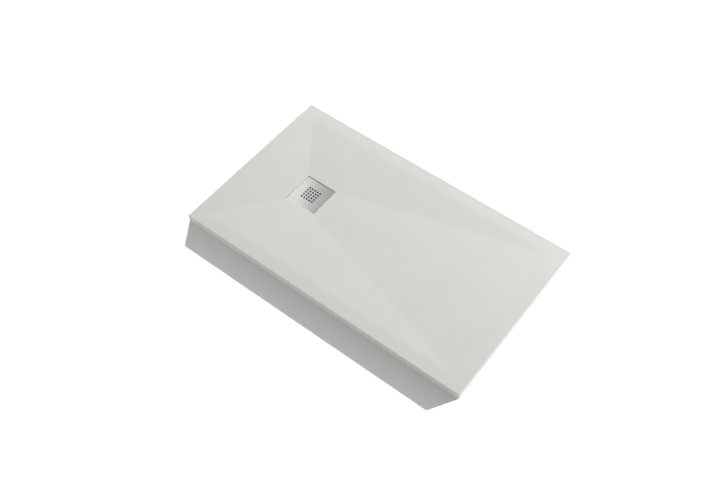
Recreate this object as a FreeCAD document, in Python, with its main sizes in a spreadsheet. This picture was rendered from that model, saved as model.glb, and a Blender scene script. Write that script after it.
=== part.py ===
import FreeCAD, Part
import math
import os
import types

import Sketcher

# A rectangular shower tray cast in mineral resin, 30 mm thick, with four falls to a
# square drain recess near one end, a pressed stainless steel grate, and the extra-flat
# trap that is clamped through the tray under the grate.
#
# Frame: millimetres. The origin is the centre of the tray's flat underside, +X runs along
# the long side away from the drain end, +Y to the back long side, +Z up.

DRIVING_SIZES = {
    # tray casting
    "tray_length": 1200.0,
    "tray_width": 700.0,
    "tray_height": 30.0,
    "corner_radius": 2.0,
    "edge_chamfer": 0.8,
    "rim_width": 50.0,
    "basin_fall": 8.0,
    "drain_to_end": 290.0,
    "recess_depth": 9.0,
    "recess_gap": 1.0,
    "seat_depth": 4.0,
    "seat_gap": 1.0,
    "drain_hole_radius": 45.0,
    "underside_land_depth": 1.0,
    "underside_land_margin": 8.0,
    # pressed grate and its pads
    "grate_width": 130.0,
    "grate_corner_radius": 4.0,
    "grate_inner_bend": 1.2,
    "grate_fold_depth": 5.5,
    "grate_sheet": 1.5,
    "perforation_width": 7.0,
    "perforation_pitch": 12.1,
    "pad_width": 12.0,
    "pad_height": 6.5,
    "pad_inset": 15.0,
    "pad_chamfer": 1.5,
    # clamping flange, its screws, their brass inserts, and the gasket under it
    "flange_overlap": 12.0,
    "flange_sheet": 1.5,
    "flange_set_back": 0.4,
    "screw_radius": 2.0,
    "screw_head_overlap": 1.5,
    "screw_head_height": 2.2,
    "screw_length": 12.0,
    "screw_hole_clearance": 0.25,
    "slot_width": 1.0,
    "slot_depth": 1.1,
    "insert_wall": 1.0,
    "insert_height": 8.0,
    "insert_clearance": 0.02,
    "thread_clearance": 0.05,
    "gasket_hole_margin": 2.0,
    "gasket_edge_margin": 0.5,
    # lower gasket, between the tray and the trap
    "lower_gasket_thickness": 3.0,
    "lower_gasket_hole_margin": 1.0,
    "lower_gasket_edge_margin": 1.0,
    # trap head: ring in the drain hole, clamping flange, shoulder for the dip tube
    "ring_clearance": 1.0,
    "ring_wall": 10.0,
    "ring_under_flange": 0.9,
    "core_wall": 2.0,
    "core_depth": 7.0,
    "head_flange_overlap": 17.0,
    "head_flange_thickness": 4.0,
    "shoulder_width": 4.0,
    "pilot_depth": 3.0,
    # trap bowl with its gussets, and the cup in it, whose rim is the weir
    "bowl_wall": 3.0,
    "bowl_bottom_chamfer": 3.0,
    "channel_width": 12.5,
    "cup_gap": 9.0,
    "cup_wall": 2.5,
    "cup_floor": 2.0,
    "water_seal": 26.0,
    "gusset_width": 2.5,
    "gusset_reach": 6.0,
    "gusset_height": 12.0,
    # outlet spigot, nut, slip washer and cone seal
    "pipe_radius": 20.0,
    "socket_clearance": 0.2,
    "socket_depth": 24.0,
    "spigot_wall": 3.7,
    "spigot_length": 36.0,
    "spigot_below_head": 2.1,
    "spigot_above_base": 4.1,
    "outlet_narrowing": 2.0,
    "bore_past_wall": 4.0,
    "mouth_chamfer": 3.0,
    "nut_clearance": 0.2,
    "nut_wall": 3.0,
    "nut_length": 20.4,
    "nut_shoulder": 2.5,
    "nut_pipe_clearance": 0.6,
    "slip_washer_thickness": 1.5,
    "washer_clearance": 0.3,
    "seal_proud": 0.4,
    "seal_gap": 0.1,
    "seal_bore_clearance": 0.15,
    # dip tube and its ring seal
    "dip_flange_clearance": 0.4,
    "dip_flange_thickness": 3.0,
    "dip_tube_clearance": 3.0,
    "dip_wall": 1.8,
    "dip_floor_gap": 5.0,
    "dip_seal_thickness": 1.5,
    "dip_seal_clearance": 0.4,
    "grip_bar_width": 4.0,
    "grip_bar_height": 5.0,
    "grip_bar_gap": 3.8,
    # hair strainer
    "strainer_lap": 4.8,
    "strainer_flange": 1.5,
    "strainer_wall": 1.2,
    "strainer_bore_clearance": 0.8,
    "strainer_depth": 9.2,
    "strainer_slot_start": 7.5,
    "strainer_slot_margin": 3.2,
    "strainer_slot_width": 3.0,
    "knob_radius": 5.0,
    "knob_rise": 6.5,
}

PERFORATIONS_PER_SIDE = 5
PAD_COUNT = 4
SCREW_COUNT = 4
GUSSET_COUNT = 8
NUT_SIDES = 12
INSERT_SIDES = 6
SCREW_SIDES = 12
STRAINER_SLOT_COUNT = 10
CORE_HALF_ANGLE = 30
CORE_STEPS = 3
TOLERANCE = 1e-4


class Length:
    """A length that knows its number and the sheet expression that gives it."""

    def __init__(self, number, text=None):
        self.number = float(number)
        self.text = text or repr(float(number))

    def __add__(self, other):
        other = as_length(other)
        return Length(self.number + other.number, f"({self.text} + {other.text})")

    def __sub__(self, other):
        other = as_length(other)
        return Length(self.number - other.number, f"({self.text} - {other.text})")

    def __mul__(self, factor):
        return Length(self.number * factor, f"({self.text} * {factor})")

    def __truediv__(self, factor):
        return Length(self.number / factor, f"({self.text} / {factor})")

    def __neg__(self):
        return Length(-self.number, f"(-1 * {self.text})")


def as_length(value):
    return value if isinstance(value, Length) else Length(value)


ZERO = Length(0)

document = FreeCAD.newDocument("ShowerTray")
sheet = document.addObject("Spreadsheet::Sheet", "Sizes")
s = types.SimpleNamespace()
for row, (alias, value) in enumerate(DRIVING_SIZES.items(), start=1):
    sheet.set(f"A{row}", alias)
    sheet.set(f"B{row}", str(value))
    sheet.setAlias(f"B{row}", alias)
    setattr(s, alias, Length(value, f"Sizes.{alias}"))
document.recompute()

# Radii about the drain's axis, from the hole in the tray inwards and outwards.
ring_radius = s.drain_hole_radius - s.ring_clearance
ring_bore = ring_radius - s.ring_wall
screw_circle_radius = ring_bore + s.ring_wall / 2
flange_radius = s.drain_hole_radius + s.flange_overlap
head_flange_radius = s.drain_hole_radius + s.head_flange_overlap
underside_land_radius = head_flange_radius + s.underside_land_margin
collar_bore = ring_bore - s.shoulder_width
dip_flange_radius = ring_bore - s.dip_flange_clearance
dip_radius = collar_bore - s.dip_tube_clearance
dip_bore = dip_radius - s.dip_wall
cup_bore = dip_radius + s.cup_gap
cup_radius = cup_bore + s.cup_wall
bowl_bore = cup_radius + s.channel_width
bowl_radius = bowl_bore + s.bowl_wall

# Radii about the outlet's axis.
socket_radius = s.pipe_radius + s.socket_clearance
spigot_radius = socket_radius + s.spigot_wall
nut_bore = spigot_radius + s.nut_clearance
nut_hole = s.pipe_radius + s.nut_pipe_clearance

# Levels above the tray's underside, from the rim down to the trap's floor.
foot_level = s.tray_height - s.basin_fall
recess_level = foot_level - s.recess_depth
seat_level = recess_level - s.seat_depth
grate_underside_level = recess_level + s.pad_height
grate_level = grate_underside_level + s.grate_sheet
flange_level = recess_level
flange_underside_level = flange_level - s.flange_sheet
ring_level = flange_underside_level - s.ring_under_flange
dip_flange_top = s.dip_seal_thickness + s.dip_flange_thickness
head_level = s.underside_land_depth - s.lower_gasket_thickness
bowl_level = head_level - s.head_flange_thickness
outlet_level = bowl_level - s.spigot_below_head - spigot_radius
base_level = outlet_level - spigot_radius - s.spigot_above_base
floor_level = base_level + s.bowl_wall
cup_floor_level = floor_level + s.cup_floor
dip_end_level = cup_floor_level + s.dip_floor_gap
weir_level = dip_end_level + s.water_seal

# Places along the tray, and along the outlet from the drain's axis.
drain_x = s.drain_to_end - s.tray_length / 2
recess_width = s.grate_width + s.recess_gap * 2
outlet_reach = bowl_radius + s.spigot_length
seal_back = outlet_reach + s.seal_proud
nut_end = seal_back + s.slip_washer_thickness + s.nut_shoulder


def bind(feature, prop, length):
    """Ties a property to the sheet, and gives it its number at once."""
    length = as_length(length)
    if "." not in prop:
        setattr(feature, prop, length.number)
    feature.setExpression(prop, length.text)


def new_body(label, at_drain=True, at_outlet=False):
    """A body for one piece, on the drain's upright axis or the outlet's level one."""
    body = document.addObject("PartDesign::Body", label)
    body.Label = label
    if at_drain:
        bind(body, "Placement.Base.x", drain_x)
    if at_outlet:
        bind(body, "Placement.Base.z", outlet_level)
    return body


def origin_feature(body, role):
    return next(item for item in body.Origin.OriginFeatures if item.Role == role)


def new_sketch(body, name, plane="XY_Plane", offset=None):
    """A sketch on one of the body's own planes, moved along its normal."""
    sketch = body.newObject("Sketcher::SketchObject", name)
    sketch.AttachmentSupport = [(origin_feature(body, plane), "")]
    sketch.MapMode = "FlatFace"
    if offset is not None:
        bind(sketch, "AttachmentOffset.Base.z", offset)
    return sketch


def fix_point(sketch, geometry, vertex, x, y):
    """Holds a point of the sketch at x, y from its origin."""
    for kind, value, axis in (("DistanceX", x, -2), ("DistanceY", y, -1)):
        if value is ZERO:
            sketch.addConstraint(Sketcher.Constraint("PointOnObject", geometry, vertex, axis))
            continue
        index = sketch.addConstraint(
            Sketcher.Constraint(kind, -1, 1, geometry, vertex, value.number)
        )
        sketch.setExpression(f"Constraints[{index}]", value.text)


def add_polygon(sketch, points):
    """A closed line through points, each held by its two coordinates."""
    first = sketch.GeometryCount
    count = len(points)
    corners = [FreeCAD.Vector(x.number, y.number, 0) for x, y in points]
    for index in range(count):
        line = Part.LineSegment(corners[index], corners[(index + 1) % count])
        sketch.addGeometry(line, False)
    for index in range(count):
        following = first + (index + 1) % count
        sketch.addConstraint(
            Sketcher.Constraint("Coincident", first + index, 2, following, 1)
        )
    for index, (x, y) in enumerate(points):
        fix_point(sketch, first + index, 1, x, y)
    return sketch


def add_rectangle(sketch, x, y, length, width):
    left, right = x - length / 2, x + length / 2
    front, rear = y - width / 2, y + width / 2
    return add_polygon(sketch, [(left, front), (right, front), (right, rear), (left, rear)])


def add_circle(sketch, radius, x=ZERO, y=ZERO):
    centre = FreeCAD.Vector(x.number, y.number, 0)
    circle = Part.Circle(centre, FreeCAD.Vector(0, 0, 1), radius.number)
    index = sketch.addGeometry(circle, False)
    fix_point(sketch, index, 3, x, y)
    constraint = sketch.addConstraint(Sketcher.Constraint("Radius", index, radius.number))
    sketch.setExpression(f"Constraints[{constraint}]", radius.text)
    return sketch


def around(radius, degrees, x=ZERO, y=ZERO):
    """The point at an angle and a distance from x, y."""
    angle = math.radians(degrees)
    return (x + radius * math.cos(angle), y + radius * math.sin(angle))


def add_regular_polygon(sketch, radius, sides, x=ZERO, y=ZERO):
    step = 360 / sides
    corners = [around(radius, step * (index + 0.5), x, y) for index in range(sides)]
    return add_polygon(sketch, corners)


def pad(body, name, sketch, length, midplane=False):
    feature = body.newObject("PartDesign::Pad", name)
    feature.Profile = sketch
    feature.Midplane = midplane
    bind(feature, "Length", length)
    document.recompute()
    return feature


def pocket(body, name, sketch, length, along_normal=False):
    """Cuts against the sketch's normal, or along it where that is asked for."""
    feature = body.newObject("PartDesign::Pocket", name)
    feature.Profile = sketch
    feature.Reversed = along_normal
    bind(feature, "Length", length)
    document.recompute()
    return feature


def revolve(body, name, points, axis="V_Axis", cut=False):
    """Turns a profile of (across, up) points about one of the sketch's axes."""
    sketch = add_polygon(new_sketch(body, f"{name}_profile", "XZ_Plane"), points)
    kind = "PartDesign::Groove" if cut else "PartDesign::Revolution"
    feature = body.newObject(kind, name)
    feature.Profile = sketch
    feature.ReferenceAxis = (sketch, [axis])
    feature.Angle = 360
    document.recompute()
    return feature


def repeat_round(body, name, originals, count, axis="Z_Axis"):
    feature = body.newObject("PartDesign::PolarPattern", name)
    feature.Originals = originals
    feature.Axis = (origin_feature(body, axis), [""])
    feature.Angle = 360
    feature.Occurrences = count
    body.Tip = feature
    document.recompute()
    return feature


def dress(body, kind, name, base, keep, prop, length):
    """Fillets or chamfers every edge of base that keep() accepts."""
    edges = enumerate(base.Shape.Edges, start=1)
    names = [f"Edge{number}" for number, edge in edges if keep(edge)]
    if not names:
        raise ValueError(f"{name} found no edge")
    feature = body.newObject(f"PartDesign::{kind}", name)
    feature.Base = (base, names)
    bind(feature, prop, length)
    document.recompute()
    return feature


def near(first, second):
    return abs(first - second) < TOLERANCE


def upright_from(level, reach=None):
    """Accepts vertical edges that start at a level, or only those at a reach from the axis."""

    def keep(edge):
        box = edge.BoundBox
        upright = max(box.XLength, box.YLength) < TOLERANCE and near(box.ZMin, level.number)
        return upright and (reach is None or near(abs(box.XMin), reach.number))

    return keep


def lying_at(level):
    """Accepts edges that lie in a level."""

    def keep(edge):
        box = edge.BoundBox
        return box.ZLength < TOLERANCE and near(box.ZMin, level.number)

    return keep


def round_at(level, radius):
    """Accepts level circles of one radius about the drain's axis."""

    def keep(edge):
        return lying_at(level)(edge) and near(edge.BoundBox.XLength, 2 * radius.number)

    return keep


def tray_slab():
    """The casting: flat rim, four plane falls, stepped drain recess, clamping land."""
    body = new_body("tray_slab", at_drain=False)
    outline = add_rectangle(new_sketch(body, "outline"), ZERO, ZERO, s.tray_length, s.tray_width)
    slab = pad(body, "slab", outline, s.tray_height)
    corners = dress(body, "Fillet", "corners", slab, upright_from(ZERO), "Radius", s.corner_radius)
    dress(
        body, "Chamfer", "top_edge", corners, lying_at(s.tray_height), "Size", s.edge_chamfer
    )
    # A wedge between the rim's inner line and the drain recess leaves four plane falls,
    # which meet in hips that run from the rim's corners to the recess's corners.
    falls = body.newObject("PartDesign::SubtractiveWedge", "falls")
    falls.AttachmentSupport = [(origin_feature(body, "XZ_Plane"), "")]
    falls.MapMode = "FlatFace"
    bind(falls, "Ymin", foot_level)
    bind(falls, "Ymax", s.tray_height)
    bind(falls, "Xmin", drain_x - recess_width / 2)
    bind(falls, "Xmax", drain_x + recess_width / 2)
    bind(falls, "Zmin", -(recess_width / 2))
    bind(falls, "Zmax", recess_width / 2)
    bind(falls, "X2min", s.rim_width - s.tray_length / 2)
    bind(falls, "X2max", s.tray_length / 2 - s.rim_width)
    bind(falls, "Z2min", s.rim_width - s.tray_width / 2)
    bind(falls, "Z2max", s.tray_width / 2 - s.rim_width)
    document.recompute()
    recess_outline = new_sketch(body, "recess_outline", offset=foot_level)
    add_rectangle(recess_outline, drain_x, ZERO, recess_width, recess_width)
    recess = pocket(body, "recess", recess_outline, s.recess_depth)
    recess_corner = s.grate_corner_radius + s.recess_gap
    dress(
        body, "Fillet", "recess_corners", recess, upright_from(recess_level), "Radius",
        recess_corner,
    )
    seat_outline = new_sketch(body, "seat_outline", offset=recess_level)
    add_circle(seat_outline, flange_radius + s.seat_gap, drain_x)
    pocket(body, "flange_seat", seat_outline, s.seat_depth)
    hole_outline = new_sketch(body, "hole_outline", offset=seat_level)
    add_circle(hole_outline, s.drain_hole_radius, drain_x)
    pocket(body, "drain_hole", hole_outline, seat_level)
    land_outline = new_sketch(body, "land_outline")
    add_circle(land_outline, underside_land_radius, drain_x)
    pocket(body, "underside_land", land_outline, s.underside_land_depth, along_normal=True)
    return body


def grate_plate():
    """Pressed sheet with rolled edges and a square field of square perforations."""
    body = new_body("grate_plate")
    fold_level = grate_level - s.grate_fold_depth
    outline = new_sketch(body, "outline", offset=fold_level)
    add_rectangle(outline, ZERO, ZERO, s.grate_width, s.grate_width)
    blank = pad(body, "blank", outline, s.grate_fold_depth)
    dress(
        body, "Fillet", "corners", blank, upright_from(fold_level), "Radius",
        s.grate_corner_radius,
    )
    inner_width = s.grate_width - s.grate_sheet * 2
    inner_outline = new_sketch(body, "inner_outline", offset=fold_level)
    add_rectangle(inner_outline, ZERO, ZERO, inner_width, inner_width)
    hollow_depth = s.grate_fold_depth - s.grate_sheet
    hollow = pocket(body, "hollow", inner_outline, hollow_depth, along_normal=True)
    inner_corners = dress(
        body, "Fillet", "inner_corners", hollow, upright_from(fold_level, inner_width / 2),
        "Radius", s.grate_corner_radius - s.grate_sheet,
    )
    inner_bend = dress(
        body, "Chamfer", "inner_bend", inner_corners, lying_at(grate_level - s.grate_sheet),
        "Size", s.grate_inner_bend,
    )
    dress(
        body, "Fillet", "rolled_edge", inner_bend, lying_at(grate_level), "Radius",
        s.grate_corner_radius,
    )
    first_hole = new_sketch(body, "first_hole", offset=grate_level)
    corner = -(s.perforation_pitch * ((PERFORATIONS_PER_SIDE - 1) / 2))
    add_rectangle(first_hole, corner, corner, s.perforation_width, s.perforation_width)
    hole = pocket(body, "hole", first_hole, s.grate_sheet)
    field = body.newObject("PartDesign::MultiTransform", "perforations")
    rows = []
    for name, role in (("along", "X_Axis"), ("across", "Y_Axis")):
        pattern = body.newObject("PartDesign::LinearPattern", name)
        pattern.Direction = (origin_feature(body, role), [""])
        pattern.Occurrences = PERFORATIONS_PER_SIDE
        bind(pattern, "Length", s.perforation_pitch * (PERFORATIONS_PER_SIDE - 1))
        rows.append(pattern)
    field.Originals = [hole]
    field.Transformations = rows
    body.Tip = field
    document.recompute()
    return body


def grate_pads():
    """Rubber pads under the grate's corners, which stand on the recess floor."""
    body = new_body("grate_pads")
    place = s.grate_width / 2 - s.pad_inset
    outline = new_sketch(body, "outline", offset=recess_level)
    add_rectangle(outline, place, place, s.pad_width, s.pad_width)
    block = pad(body, "block", outline, s.pad_height)
    foot = dress(
        body, "Chamfer", "foot_edge", block, lying_at(recess_level), "Size", s.pad_chamfer
    )
    repeat_round(body, "pads", [block, foot], PAD_COUNT)
    return body


def waste_flange():
    """Flat stainless ring that clamps the tray, with holes for its screws."""
    body = new_body("waste_flange")
    outline = new_sketch(body, "outline", offset=flange_underside_level)
    add_circle(outline, flange_radius)
    add_circle(outline, ring_bore + s.flange_set_back)
    pad(body, "ring", outline, s.flange_sheet)
    hole_outline = new_sketch(body, "hole_outline", offset=flange_level)
    hole_radius = s.screw_radius + s.screw_hole_clearance
    add_regular_polygon(hole_outline, hole_radius, SCREW_SIDES, screw_circle_radius)
    hole = pocket(body, "screw_hole", hole_outline, s.flange_sheet)
    repeat_round(body, "screw_holes", [hole], SCREW_COUNT)
    return body


def flange_screws():
    """Slotted pan-head screws that pull the flange down on to the trap head."""
    body = new_body("flange_screws")
    shank_outline = new_sketch(body, "shank_outline", offset=flange_level - s.screw_length)
    add_regular_polygon(shank_outline, s.screw_radius, SCREW_SIDES, screw_circle_radius)
    shank = pad(body, "shank", shank_outline, s.screw_length)
    head_radius = s.screw_radius + s.screw_head_overlap
    head_outline = new_sketch(body, "head_outline", offset=flange_level)
    add_regular_polygon(head_outline, head_radius, SCREW_SIDES, screw_circle_radius)
    head = pad(body, "head", head_outline, s.screw_head_height)
    slot_outline = new_sketch(body, "slot_outline", offset=flange_level + s.screw_head_height)
    slot_length = head_radius * 2 + s.slot_width
    add_rectangle(slot_outline, screw_circle_radius, ZERO, slot_length, s.slot_width)
    slot = pocket(body, "slot", slot_outline, s.slot_depth)
    repeat_round(body, "screws", [shank, head, slot], SCREW_COUNT)
    return body


def screw_inserts():
    """Threaded six-sided brass inserts in the trap head's bosses."""
    body = new_body("screw_inserts")
    outline = new_sketch(body, "outline", offset=ring_level - s.insert_height)
    corner = s.screw_radius + s.insert_wall
    add_regular_polygon(outline, corner, INSERT_SIDES, screw_circle_radius)
    bore = s.screw_radius + s.thread_clearance
    add_regular_polygon(outline, bore, SCREW_SIDES, screw_circle_radius)
    sleeve = pad(body, "sleeve", outline, s.insert_height)
    repeat_round(body, "inserts", [sleeve], SCREW_COUNT)
    return body


def flange_gasket():
    """Flat rubber ring between the flange and the seat in the tray."""
    body = new_body("flange_gasket")
    hole = s.drain_hole_radius + s.gasket_hole_margin
    edge = flange_radius - s.gasket_edge_margin
    revolve(
        body,
        "ring",
        [
            (hole, seat_level),
            (edge, seat_level),
            (edge, flange_underside_level),
            (hole, flange_underside_level),
        ],
    )
    return body


def tray_gasket():
    """Thick rubber ring between the tray's underside and the trap head."""
    body = new_body("tray_gasket")
    hole = s.drain_hole_radius + s.lower_gasket_hole_margin
    edge = head_flange_radius - s.lower_gasket_edge_margin
    revolve(
        body,
        "ring",
        [
            (hole, head_level),
            (edge, head_level),
            (edge, s.underside_land_depth),
            (hole, s.underside_land_depth),
        ],
    )
    return body


def trap_head():
    """Upper moulding: cored ring with screw bosses, flange, and the dip tube's shoulder."""
    body = new_body("trap_head")
    revolve(
        body,
        "moulding",
        [
            (ring_bore, ring_level),
            (ring_radius, ring_level),
            (ring_radius, head_level),
            (head_flange_radius, head_level),
            (head_flange_radius, bowl_level),
            (collar_bore, bowl_level),
            (collar_bore, ZERO),
            (ring_bore, ZERO),
        ],
    )
    # The ring is cored out between the bosses, which leaves even walls.
    core_outline = new_sketch(body, "core_outline", offset=ring_level)
    boss_angle = 360 / SCREW_COUNT
    step = 2 * CORE_HALF_ANGLE / CORE_STEPS
    angles = [boss_angle / 2 - CORE_HALF_ANGLE + step * index for index in range(CORE_STEPS + 1)]
    outer = [around(ring_radius - s.core_wall, angle) for angle in angles]
    inner = [around(ring_bore + s.core_wall, angle) for angle in reversed(angles)]
    add_polygon(core_outline, outer + inner)
    core = pocket(body, "core", core_outline, s.core_depth)
    insert_outline = new_sketch(body, "insert_outline", offset=ring_level)
    corner = s.screw_radius + s.insert_wall + s.insert_clearance
    add_regular_polygon(insert_outline, corner, INSERT_SIDES, screw_circle_radius)
    hole = pocket(body, "insert_hole", insert_outline, s.insert_height + s.pilot_depth)
    repeat_round(body, "bosses", [core, hole], SCREW_COUNT)
    return body


def trap_bowl():
    """Lower moulding: bowl, outlet spigot with its socket, gussets under the head's flange."""
    body = new_body("trap_bowl")
    shell = revolve(
        body,
        "shell",
        [
            (ZERO, bowl_level),
            (bowl_radius, bowl_level),
            (bowl_radius, base_level),
            (ZERO, base_level),
        ],
    )
    dress(
        body, "Chamfer", "bottom_edge", shell, round_at(base_level, bowl_radius), "Size",
        s.bowl_bottom_chamfer,
    )
    spigot_outline = new_sketch(body, "spigot_outline", "YZ_Plane", -outlet_reach)
    add_circle(spigot_outline, spigot_radius, ZERO, outlet_level)
    pad(body, "spigot", spigot_outline, outlet_reach - cup_radius)
    gusset_outline = new_sketch(body, "gusset_outline", "XZ_Plane")
    root = bowl_radius - s.bowl_wall / 2
    add_polygon(
        gusset_outline,
        [
            (root, bowl_level),
            (bowl_radius + s.gusset_reach, bowl_level),
            (bowl_radius, bowl_level - s.gusset_height),
            (root, bowl_level - s.gusset_height),
        ],
    )
    gusset = pad(body, "gusset", gusset_outline, s.gusset_width, midplane=True)
    repeat_round(body, "gussets", [gusset], GUSSET_COUNT)
    cavity = revolve(
        body,
        "cavity",
        [
            (ZERO, bowl_level),
            (bowl_bore, bowl_level),
            (bowl_bore, floor_level),
            (ZERO, floor_level),
        ],
        cut=True,
    )
    body.Tip = cavity
    bore_outline = new_sketch(body, "bore_outline", "YZ_Plane", -outlet_reach)
    add_circle(bore_outline, s.pipe_radius - s.outlet_narrowing, ZERO, outlet_level)
    bore_length = outlet_reach - cup_radius - s.bore_past_wall
    pocket(body, "outlet_bore", bore_outline, bore_length, along_normal=True)
    socket_outline = new_sketch(body, "socket_outline", "YZ_Plane", -outlet_reach)
    add_circle(socket_outline, socket_radius, ZERO, outlet_level)
    socket = pocket(body, "socket", socket_outline, s.socket_depth, along_normal=True)

    def is_mouth(edge):
        box = edge.BoundBox
        at_end = near(box.XMin, -outlet_reach.number) and box.XLength < TOLERANCE
        return at_end and near(box.YLength, 2 * socket_radius.number)

    dress(body, "Chamfer", "mouth", socket, is_mouth, "Size", s.mouth_chamfer)
    return body


def trap_cup():
    """Cup that stands in the bowl round the dip tube; its rim is the weir."""
    body = new_body("trap_cup")
    revolve(
        body,
        "cup",
        [
            (ZERO, floor_level),
            (cup_radius, floor_level),
            (cup_radius, weir_level),
            (cup_bore, weir_level),
            (cup_bore, cup_floor_level),
            (ZERO, cup_floor_level),
        ],
    )
    return body


def outlet_nut():
    """Many-sided compression nut on the outlet's thread."""
    body = new_body("outlet_nut", at_outlet=True)
    outside = nut_bore + s.nut_wall
    outline = new_sketch(body, "outline", "YZ_Plane", -nut_end)
    add_regular_polygon(outline, outside, NUT_SIDES)
    add_circle(outline, nut_hole)
    pad(body, "shell", outline, s.nut_length)
    bore_outline = new_sketch(body, "bore_outline", "YZ_Plane", s.nut_length - nut_end)
    add_circle(bore_outline, nut_bore)
    pocket(body, "thread_bore", bore_outline, s.nut_length - s.nut_shoulder)
    return body


def outlet_slip_washer():
    """Flat washer that lets the nut turn on the seal."""
    body = new_body("outlet_slip_washer", at_outlet=True)
    outer_end = nut_end - s.nut_shoulder
    hole = nut_hole - s.socket_clearance
    edge = nut_bore - s.washer_clearance
    revolve(
        body,
        "ring",
        [(-outer_end, hole), (-seal_back, hole), (-seal_back, edge), (-outer_end, edge)],
        axis="H_Axis",
    )
    return body


def outlet_seal():
    """Cone-shaped rubber ring that the nut presses into the socket's mouth."""
    body = new_body("outlet_seal", at_outlet=True)
    hole = s.pipe_radius + s.seal_bore_clearance
    edge = socket_radius + s.mouth_chamfer + s.seal_proud - s.seal_gap
    revolve(
        body,
        "ring",
        [(-seal_back, hole), (-seal_back, edge), (edge - hole - seal_back, hole)],
        axis="H_Axis",
    )
    return body


def dip_tube():
    """Lift-out tube whose lower end stands in the cup's water, with a grip bar."""
    body = new_body("dip_tube")
    revolve(
        body,
        "tube",
        [
            (dip_bore, dip_flange_top),
            (dip_flange_radius, dip_flange_top),
            (dip_flange_radius, s.dip_seal_thickness),
            (dip_radius, s.dip_seal_thickness),
            (dip_radius, dip_end_level),
            (dip_bore, dip_end_level),
        ],
    )
    bar_level = -(s.strainer_depth + s.grip_bar_gap + s.grip_bar_height)
    bar_outline = new_sketch(body, "bar_outline", offset=bar_level)
    add_rectangle(bar_outline, ZERO, ZERO, (dip_bore + s.dip_wall / 2) * 2, s.grip_bar_width)
    pad(body, "grip_bar", bar_outline, s.grip_bar_height)
    return body


def dip_tube_seal():
    """Flat rubber ring under the dip tube's flange, on the trap head's shoulder."""
    body = new_body("dip_tube_seal")
    hole = collar_bore + s.dip_seal_clearance
    revolve(
        body,
        "ring",
        [
            (hole, ZERO),
            (dip_flange_radius, ZERO),
            (dip_flange_radius, s.dip_seal_thickness),
            (hole, s.dip_seal_thickness),
        ],
    )
    return body


def hair_strainer():
    """Slotted basket with a pull knob, whose flange lies on the dip tube."""
    body = new_body("hair_strainer")
    top = dip_flange_top + s.strainer_flange
    outside = dip_bore - s.strainer_bore_clearance
    inside = outside - s.strainer_wall
    flange_edge = dip_bore + s.strainer_lap
    base = -s.strainer_depth
    floor = base + s.strainer_wall
    knob_top = top + s.knob_rise
    revolve(
        body,
        "basket",
        [
            (flange_edge, top),
            (flange_edge, dip_flange_top),
            (outside, dip_flange_top),
            (outside, base),
            (ZERO, base),
            (ZERO, knob_top),
            (s.knob_radius, knob_top),
            (s.knob_radius, floor),
            (inside, floor),
            (inside, top),
        ],
    )
    slot_outline = new_sketch(body, "slot_outline", offset=floor)
    slot_length = inside - s.strainer_slot_margin - s.strainer_slot_start
    middle = s.strainer_slot_start + slot_length / 2
    add_rectangle(slot_outline, middle, ZERO, slot_length, s.strainer_slot_width)
    slot = pocket(body, "slot", slot_outline, s.strainer_wall)
    repeat_round(body, "slots", [slot], STRAINER_SLOT_COUNT)
    return body


def check_model(pieces):
    """Stops on a failed object, an invalid solid or a cut that removed nothing."""
    for item in document.Objects:
        if "Invalid" in item.State or "Error" in item.State:
            raise RuntimeError(f"{item.Label} failed: {item.State}")
    cuts = ("Pocket", "Groove", "SubtractiveWedge")
    for item in document.Objects:
        if item.TypeId.removeprefix("PartDesign::") not in cuts:
            continue
        if item.Shape.Volume > item.BaseFeature.Shape.Volume - TOLERANCE:
            raise RuntimeError(f"{item.Label} in {item.getParent().Label} cut nothing")
    for piece in pieces:
        if piece.Shape.isNull() or not piece.Shape.isValid():
            raise RuntimeError(f"{piece.Label} has no valid shape")


pieces = [
    tray_slab(),
    grate_plate(),
    grate_pads(),
    waste_flange(),
    flange_screws(),
    screw_inserts(),
    flange_gasket(),
    tray_gasket(),
    trap_head(),
    trap_bowl(),
    trap_cup(),
    outlet_nut(),
    outlet_slip_washer(),
    outlet_seal(),
    dip_tube(),
    dip_tube_seal(),
    hair_strainer(),
]
document.recompute()
check_model(pieces)

os.makedirs("parts", exist_ok=True)
for piece in pieces:
    piece.Shape.exportStep(f"parts/{piece.Label}.step")
    solids = len(piece.Shape.Solids)
    box = piece.Shape.BoundBox
    print(
        f"{piece.Label}: {solids} solid(s), {piece.Shape.Volume / 1000:.2f} cm3, "
        f"z {box.ZMin:.2f} to {box.ZMax:.2f}"
    )
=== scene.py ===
import math

import bmesh
import bpy
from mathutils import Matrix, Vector


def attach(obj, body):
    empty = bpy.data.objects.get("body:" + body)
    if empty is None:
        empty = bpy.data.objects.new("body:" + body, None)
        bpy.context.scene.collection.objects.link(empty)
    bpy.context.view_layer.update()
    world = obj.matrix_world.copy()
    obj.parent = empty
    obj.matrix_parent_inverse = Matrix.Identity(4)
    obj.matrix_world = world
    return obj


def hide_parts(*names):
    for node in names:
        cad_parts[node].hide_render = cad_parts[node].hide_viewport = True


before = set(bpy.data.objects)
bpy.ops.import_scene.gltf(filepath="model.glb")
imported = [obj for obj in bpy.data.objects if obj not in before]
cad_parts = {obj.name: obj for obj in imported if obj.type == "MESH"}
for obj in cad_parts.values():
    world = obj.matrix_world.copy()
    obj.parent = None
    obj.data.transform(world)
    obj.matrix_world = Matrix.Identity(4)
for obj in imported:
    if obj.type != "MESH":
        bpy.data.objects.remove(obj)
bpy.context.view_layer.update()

MM = 0.001

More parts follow.
